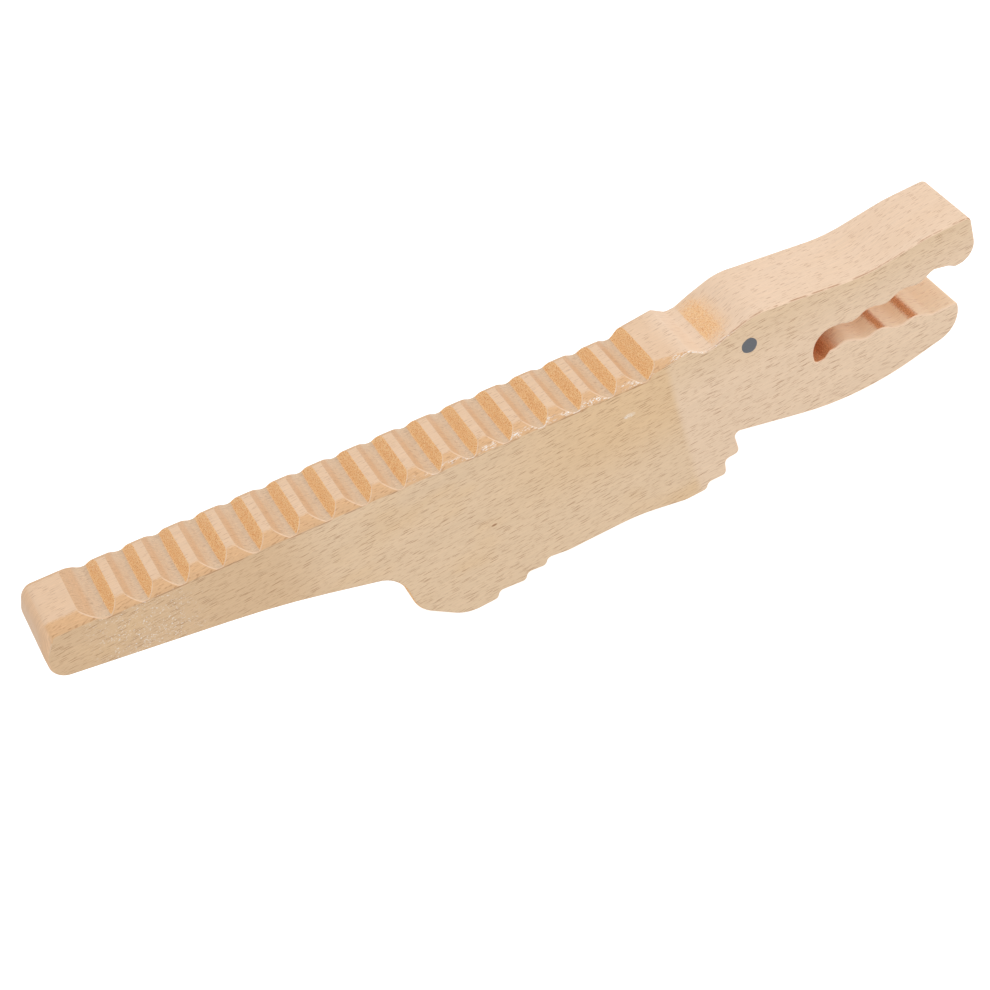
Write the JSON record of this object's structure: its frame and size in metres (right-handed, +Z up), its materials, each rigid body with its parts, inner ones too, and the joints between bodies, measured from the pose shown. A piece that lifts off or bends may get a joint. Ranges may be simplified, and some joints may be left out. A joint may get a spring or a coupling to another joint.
{
  "type": "crocodile guiro",
  "caption": "Wooden board sawn to a crocodile's outline, with open wavy jaws and a row of grooves across its back to be scraped with a stick.",
  "frame": {"origin": "middle of the bounding box's bottom, on the surface that the two feet rest on", "axes": "+X from the tail towards the snout, +Y across the board's thickness, +Z up from the feet to the grooved back"},
  "size_m": [0.3, 0.0254, 0.068],
  "materials": {
    "beech": "clear satin lacquer on plain beech, with one dark grey painted eye on each side"
  },
  "bodies": {
    "root": {"body": "beech"}
  },
  "joints": []
}
